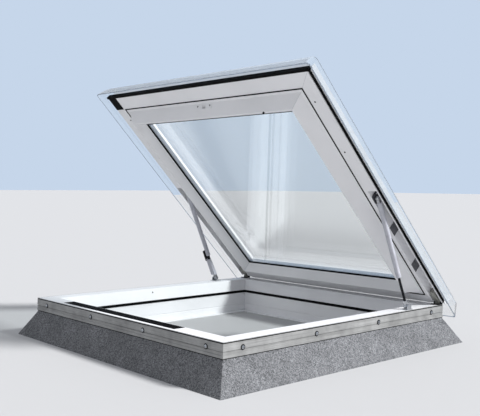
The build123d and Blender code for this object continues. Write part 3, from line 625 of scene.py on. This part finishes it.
def cover_shell(finish, edge):
    """Cast acrylic cover: a skirt, a shoulder and a low crown, each bend eased as heat forming leaves it.
    Its rim ends in a matt sawn edge."""
    rim = HALF + COVER_REACH
    crown_in, crown_up = COVER_CROWN
    shoulder_in, shoulder_up = COVER_SHOULDER
    section = eased([
        (0, crown_up), (rim - crown_in, crown_up), (rim - shoulder_in, shoulder_up), (rim, COVER_RIM),
        (rim - COVER_WALL, COVER_RIM), (rim - shoulder_in - COVER_WALL, shoulder_up - COVER_WALL),
        (rim - crown_in - COVER_WALL, crown_up - COVER_WALL), (0, crown_up - COVER_WALL),
    ], COVER_BENDS)
    section[:, 1] += KERB_TOP
    corner = np.minimum(section[:, 0], COVER_CORNER)
    shell = ring_surface(section, corner, COVER_STEPS, 1, close_rows=False)
    make_piece("cover_shell", opened(shell), finish, "sash", ("clear_cover",))
    reach, gap = EDGE_STRIP
    low = KERB_TOP + COVER_RIM
    strip = np.array([(rim - COVER_WALL, low - reach), (rim, low - reach), (rim, low - gap),
                      (rim - COVER_WALL, low - gap)])
    strip = ring_surface(strip, COVER_CORNER - rim + strip[:, 0], COVER_STEPS, 1)
    make_piece("cover_edge", opened(strip), edge, "sash")


def felt_wave(x, y, z):
    """Slow waves along the felt, none at the roof or at the rail: h sin(pi v) (sin p + 0.6 sin q).

    v is the share of the height, and p and q are the run in radians of the long and the short wave.
    """
    long_run, short_run = WAVE_RUNS
    rise = np.clip(z / RAIL_LOW, 0, 1)
    run = x - WAVE_SLANT * y
    waves = np.sin(run / long_run) + WAVE_SHORT_SHARE * np.sin(run / short_run + WAVE_TWIST * z)
    return WAVE_HEIGHT * np.sin(math.pi * rise) * waves


def felt_skin(finish):
    """The felt upstand: its slope in rows of points, moved by slow waves, and a tongue behind the rail."""
    face = HALF - RAIL_SECTION[1]
    foot = HALF + FELT_FOOT
    slope = np.linspace((foot, 0.0), (face, RAIL_LOW), FELT_ROWS)
    top = KERB_TOP - FELT_TUCK
    tongue = np.array([(face, top), (face - FELT_SHEET, top), (face - FELT_SHEET, RAIL_LOW),
                       (foot - FELT_FOOT_SHARE * FELT_SHEET, 0.0)])
    skin = ring_surface(np.vstack([slope, tongue]), FELT_CORNER, 4, FELT_STEPS, felt_wave)
    make_piece("felt_skin", skin, finish, "kerb", ("upstand_felt",))


def rail_bars(across, deep):
    """The clamping rails: drawn bars with two slots, a band that leans back and a proud foot."""
    height, thickness = RAIL_SECTION
    foot_height, proud = RAIL_FOOT
    face = [(thickness, 0), (RAIL_EDGE, 0), (0, -RAIL_EDGE)]
    for level, width in RAIL_GROOVES:
        top, bottom = width / 2 - level, -width / 2 - level
        face += [(0, top), (GROOVE_DEPTH, top), (GROOVE_DEPTH, bottom), (0, bottom)]
    low, lean = RAIL_LEAN
    step = -height + foot_height
    face += [(lean, -low), (lean, step), (-proud, step - FOOT_CHAMFER), (-proud, -height + RAIL_EDGE),
             (0, -height), (thickness, -height)]
    for turn, side in enumerate(("right", "back", "left", "front")):
        finish = across if side in ("back", "front") else deep
        bar = mitred_bar(face, turn * math.pi / 2)
        make_piece("rail_bar_" + side, bar, finish, "kerb", ("clamp_rail_" + side,))


def shade_line_beads(finish):
    """Two black beads that paint shade lines: one in the rails' top slot paints the shade line under the
    kerb's top edge, and one between their foot and the felt paints the shadow under the rails."""
    level, width = RAIL_GROOVES[0]
    slot_top, slot_low = KERB_TOP - level + width / 2, KERB_TOP - level - width / 2
    outer = HALF - BEAD_BACK
    for name, top, low, inner in (
            ("joint_bead", slot_top, slot_low, HALF - GROOVE_DEPTH),
            ("foot_bead", RAIL_LOW, RAIL_LOW - BEAD_LOW_HEIGHT, HALF - RAIL_SECTION[1])):
        ease = BEAD_EASE * (top - low)
        section = np.array([(inner, low), (outer - ease, low), (outer, low + ease), (outer, top - ease),
                            (outer - ease, top), (inner, top)])
        make_piece(name, ring_surface(section, BEAD_CORNER, 3, 1), finish, "kerb")


def rail_screws(steel, rubber):
    """Screws along the rails, each on a steel washer bonded to a rubber one."""
    places = []
    for turn in range(4):
        for along in np.linspace(-SCREW_SPAN / 2, SCREW_SPAN / 2, SCREW_COUNT):
            place = Matrix.Translation((HALF, along, KERB_TOP - SCREW_DROP))
            stand = Matrix.Rotation(math.pi / 2, 4, "Y") @ Matrix.Rotation(along / SCREW_TWIST, 4, "Z")
            places.append(Matrix.Rotation(turn * math.pi / 2, 4, "Z") @ place @ stand)
    seal = lathe(SEAL_PROFILE, columns=28, close_rows=True)
    washer = lathe(WASHER_PROFILE, columns=28, close_rows=True)
    points, faces = socket_screw(head=4.8 * MM, height=3.0 * MM, socket=2.3 * MM, depth=1.9 * MM,
                                 shank=2.4 * MM, length=26 * MM)
    head = (points + np.array((0, 0, HEAD_RISE)), faces)
    make_piece("rail_screw_seals", at_places(seal, places), rubber, "kerb")
    make_piece("rail_screw_washers", at_places(washer, places), steel, "kerb")
    make_piece("rail_screw_heads", at_places(head, places), steel, "kerb", ("rail_screws",))


def small_screws(steel, dark):
    """The screws of the sash's face, the strike plate, the brackets and the lock case."""
    small = socket_screw(head=3.2 * MM, height=1.2 * MM, socket=1.5 * MM, depth=0.9 * MM,
                         shank=1.6 * MM, length=8 * MM)
    down = Matrix.Rotation(math.pi, 4, "X")
    inwards = Matrix.Rotation(-math.pi / 2, 4, "X")
    plate = Matrix.Translation(STRIKE_PLACE) @ Matrix.Rotation(math.radians(STRIKE_LEAN), 4, "X")
    face, strike, foot, case, slope, head = [], [], [], [], [], []
    for side in (-1, 1):
        slant = Matrix.Rotation(-side * math.radians(SLOPE_LEAN), 4, "Y")
        outwards = Matrix.Rotation(side * math.pi / 2, 4, "Y")
        face += [beside(side, screw) @ down for screw in FACE_SCREWS]
        strike.append(plate @ beside(side, STRIKE_SCREW))
        foot += [beside(side, screw) for screw in FOOT_SCREWS]
        case.append(beside(side, CASE_SCREW) @ inwards)
        slope.append(beside(side, SLOPE_SCREW) @ slant)
        head += [beside(side, screw) @ outwards for screw in HEAD_SCREWS]
    make_piece("face_screw_heads", opened(at_places(small, face)), dark, "sash", ("face_screws",))
    make_piece("strike_screw_heads", opened(at_places(small, strike)), dark, "sash")
    make_piece("kerb_bracket_screws", at_places(small, foot + case), steel, "kerb")
    make_piece("slope_screw_heads", at_places(small, slope), dark, "kerb")
    make_piece("sash_bracket_screws", opened(at_places(small, head)), steel, "sash")


def ridge_bumper(finish):
    """The small rubber bumper on the ridge."""
    bumper = lathe(BUMPER_PROFILE, columns=24)
    place = Matrix.Translation(STOP_PLACE) @ Matrix.Rotation(math.pi, 4, "X")
    make_piece("ridge_bumper", opened(at_places(bumper, [place])), finish, "sash", ("ridge_stop",))


def gas_tubes(enamel, rubber):
    """The gas springs' tubes, rolled in over the seal with a crimped groove, and their rod seals."""
    low, high = span_on_spring("spring_tube_right")
    bore = np.array([(0.0, high - TUBE_CAP), (TUBE_BORE, high - TUBE_CAP), (TUBE_BORE, low)])
    profile = np.vstack([TUBE_MOUTH + (0.0, low), TUBE_HEAD + (0.0, high), bore])
    tube = lathe(profile, columns=40, close_rows=True)
    inner = ROD_RADIUS + SEAL_GAP
    outer = TUBE_BORE - SEAL_GAP
    back = np.array([(outer, low + SEAL_LENGTH), (inner, low + SEAL_LENGTH)])
    profile = np.vstack([SEAL_INNER_LIP + (inner, low), SEAL_OUTER_LIP + (outer, low), back])
    seal = lathe(profile, columns=36, close_rows=True)
    for name, side in (("left", -1), ("right", 1)):
        body = "tube_" + name
        make_piece("gas_tube_" + name, on_spring(tube, side), enamel, body, ("spring_tube_" + name,))
        make_piece("rod_seal_" + name, on_spring(seal, side), rubber, body, ("spring_guide_" + name,))


# stage
def make_camera():
    """The camera of the photograph: its place, its two angles and its small roll."""
    azimuth, pitch = math.radians(CAMERA_AZIMUTH), math.radians(CAMERA_PITCH)
    level = math.cos(pitch)
    back = Vector((math.sin(azimuth) * level, -math.cos(azimuth) * level, math.sin(pitch)))
    roll = Matrix.Rotation(math.radians(CAMERA_ROLL), 3, "Z")
    turn = back.to_track_quat("Z", "Y").to_matrix() @ roll
    lens = bpy.data.cameras.new("camera")
    lens.sensor_width = SENSOR_WIDTH
    lens.lens = FOCAL_PIXELS / IMAGE_WIDTH * SENSOR_WIDTH
    lens.clip_end = FAR_CLIP
    camera = bpy.data.objects.new("camera", lens)
    camera.matrix_world = Matrix.Translation(CAMERA_PLACE) @ turn.to_4x4()
    bpy.context.scene.collection.objects.link(camera)
    bpy.context.scene.camera = camera


def make_floor():
    """A wide pale floor under the kerb."""
    material, tree = new_material("pale floor")[:2]
    skin = add(tree, "ShaderNodeBsdfPrincipled", {"Base Color": linear(FLOOR_COLOUR), "Roughness": 0.9})
    add(tree, "ShaderNodeOutputMaterial", {"Surface": skin.outputs["BSDF"]})
    corners = [(-FLOOR_REACH, -FLOOR_REACH, 0), (FLOOR_REACH, -FLOOR_REACH, 0),
               (FLOOR_REACH, FLOOR_REACH, 0), (-FLOOR_REACH, FLOOR_REACH, 0)]
    mesh = bpy.data.meshes.new("floor")
    mesh.from_pydata(corners, [], [(0, 1, 2, 3)])
    mesh.materials.append(material)
    floor = bpy.data.objects.new("floor", mesh)
    bpy.context.scene.collection.objects.link(floor)


def graded_sky(tree, up, sky):
    """A sky of one colour, whose strength grows from the horizon upwards."""
    colour, low, high, full = sky
    strength = add(tree, "ShaderNodeMapRange", {
        "Value": up, "From Max": full, "To Min": low, "To Max": high})
    return add(tree, "ShaderNodeBackground", {
        "Color": linear(colour), "Strength": strength.outputs["Result"]}).outputs["Background"]


def make_sky():
    """A pale sky all round that grows brighter overhead, with a shade of its own where it is mirrored and
    another where it is seen."""
    world = bpy.data.worlds.new("sky")
    bpy.context.scene.world = world
    world.use_nodes = True
    tree = world.node_tree
    tree.nodes.clear()
    place = add(tree, "ShaderNodeTexCoord").outputs["Generated"]
    up = add(tree, "ShaderNodeSeparateXYZ", {"Vector": place}).outputs["Z"]
    ray = add(tree, "ShaderNodeLightPath")
    gloss = add(tree, "ShaderNodeMixShader", {
        "Fac": ray.outputs["Is Glossy Ray"], 1: graded_sky(tree, up, SKY_LIT),
        2: graded_sky(tree, up, SKY_MIRRORED)})
    seen = add(tree, "ShaderNodeBackground", {"Color": linear(SKY_SEEN), "Strength": 1.0})
    eye = add(tree, "ShaderNodeMath", {
        0: ray.outputs["Is Camera Ray"], 1: ray.outputs["Is Transmission Ray"]}, {"operation": "MAXIMUM"})
    pick = add(tree, "ShaderNodeMixShader", {
        "Fac": eye.outputs["Value"], 1: gloss.outputs["Shader"], 2: seen.outputs["Background"]})
    add(tree, "ShaderNodeOutputWorld", {"Surface": pick.outputs["Shader"]})


def make_key():
    """A soft key from the right and behind, which doesn't show as a disc in the glass."""
    sun = bpy.data.lights.new("key", "SUN")
    sun.energy = SUN_STRENGTH
    sun.angle = math.radians(SUN_WIDTH)
    key = bpy.data.objects.new("key", sun)
    key.visible_glossy = False
    key.visible_transmission = False
    key.matrix_world = Vector(SUN_AIM).to_track_quat("Z", "Y").to_matrix().to_4x4()
    bpy.context.scene.collection.objects.link(key)


def dress():
    """Gives each piece the finish of the real one; the black beads at the rails paint shade lines."""
    kerb_pvc = (rigid_pvc("white rigid PVC of the kerb", "#ededef", "#f4f4f6", 0.3), "white_pvc")
    sash_pvc = (rigid_pvc("white rigid PVC of the sash", "#ebebed", "#f2f2f4", 0.34, True), "white_pvc")
    foam = (rigid_pvc("polystyrene foam", "#efefec", "#f6f6f4", 0.8), "insulation")
    felt = (mineral_felt("slate granule felt"), "felt")
    across = (drawn_aluminium("mill aluminium along X", 0, "#868685", "#b4b4b3", 0.5, 0.3),
              "rail_aluminium")
    deep = (drawn_aluminium("mill aluminium along Y", 1, "#868685", "#b4b4b3", 0.5, 0.3),
            "rail_aluminium")
    satin = (drawn_aluminium("satin aluminium", 0, "#dbdde0", "#e9ebed", 0.42, 0.5, True),
             "cladding_aluminium")
    spacer = (perforated_spacer("perforated aluminium spacer"), "rail_aluminium")
    rubber = (moulded_polymer("EPDM rubber", "#010101", "#050506", 0.8, 1.5 * MM, 0.1), "black_rubber")
    grit = (moulded_polymer("gritted rubber", "#050506", "#121214", 0.85, 2.5 * MM, 0.5), "black_rubber")
    nylon = (moulded_polymer("glass-filled nylon", "#19191b", "#28282b", 0.42, 0.8 * MM, 0.2),
             "black_plastic")
    grey_nylon = (moulded_polymer("grey glass-filled nylon", "#46474b", "#55565a", 0.45, 0.8 * MM, 0.2),
                  "black_plastic")
    grey_pad = (moulded_polymer("thermoplastic rubber", "#5f6064", "#6e6f73", 0.5, 1.5 * MM, 0.1),
                "black_plastic")
    acrylic = (clear_sheet("cast acrylic", "#feffff", 1.49, "#fcfdfd"), "clear_plastic")
    sawn = (sawn_acrylic("sawn acrylic edge", "#c3cfdd"), "clear_plastic")
    glass = (clear_sheet("float glass", "#fcfdfd", 1.52, "#f0f1f1"), "glass")
    zinc = (coated_steel("zinc plated steel", "#a6a8ab", "#c9cbce", 0.34, 1.0), "steel")
    black_zinc = (coated_steel("black zinc steel", "#1d1e21", "#2c2d31", 0.35, 1.0), "dark_steel")
    powder = (coated_steel("grey powder coated steel", "#85857f", "#95958f", 0.55, 0.0), "dark_steel")
    enamel = (coated_steel("light grey enamel", "#b4b5be", "#c3c4cc", 0.3, 0.0), "spring_tube")
    nitride = (coated_steel("nitrided piston rod", "#202124", "#2c2d31", 0.22, 1.0), "chromed_rod")

    soften(["kerb_frame"], kerb_pvc, edge=0.8 * MM)
    set_finish(["kerb_insulation"], foam)
    soften(["sash_frame", "glazing_bead"], sash_pvc, edge=0.8 * MM)
    soften(["strike_plate"], sash_pvc, edge=0.35 * MM)
    soften(["sash_cladding"], satin, edge=0.6 * MM)
    set_finish(["pane_spacer"], spacer)
    set_finish(["kerb_gasket", "face_gasket", "glazing_gasket"], rubber)
    soften(["lip_gasket"], rubber, edge=1.0 * MM)
    set_finish(["tread_strip"], grit)
    soften(["channel_pads"], grey_pad, edge=0.4 * MM)
    soften(["lock_case", "handle"], nylon, edge=1.0 * MM)
    soften(both("head_bracket"), grey_nylon, edge=1.0 * MM)
    soften(["lock_lever"], nylon, edge=0.8 * MM)
    set_finish(["cover_clips"], acrylic)
    set_finish(["inner_pane", "outer_pane"], glass)
    soften(["lock_bolt"] + both("foot_bracket"), zinc, edge=0.5 * MM)
    soften(["stay_shroud"], enamel, edge=0.4 * MM)
    set_finish(both("spring_foot_eye") + both("spring_head_eye"), zinc)
    set_finish(both("hinge_base"), black_zinc)
    soften(both("hinge_leaf"), powder, edge=0.6 * MM)
    set_finish(both("spring_rod"), nitride)

    cover_shell(acrylic, sawn)
    felt_skin(felt)
    rail_bars(across, deep)
    # black beads that paint the shade line under the kerb's top edge and the shadow under the rails
    shade_line_beads(rubber)
    rail_screws(zinc, rubber)
    small_screws(zinc, black_zinc)
    ridge_bumper(rubber)
    gas_tubes(enamel, rubber)


bpy.context.scene.view_settings.view_transform = "Standard"
make_camera()
make_floor()
make_sky()
make_key()
dress()
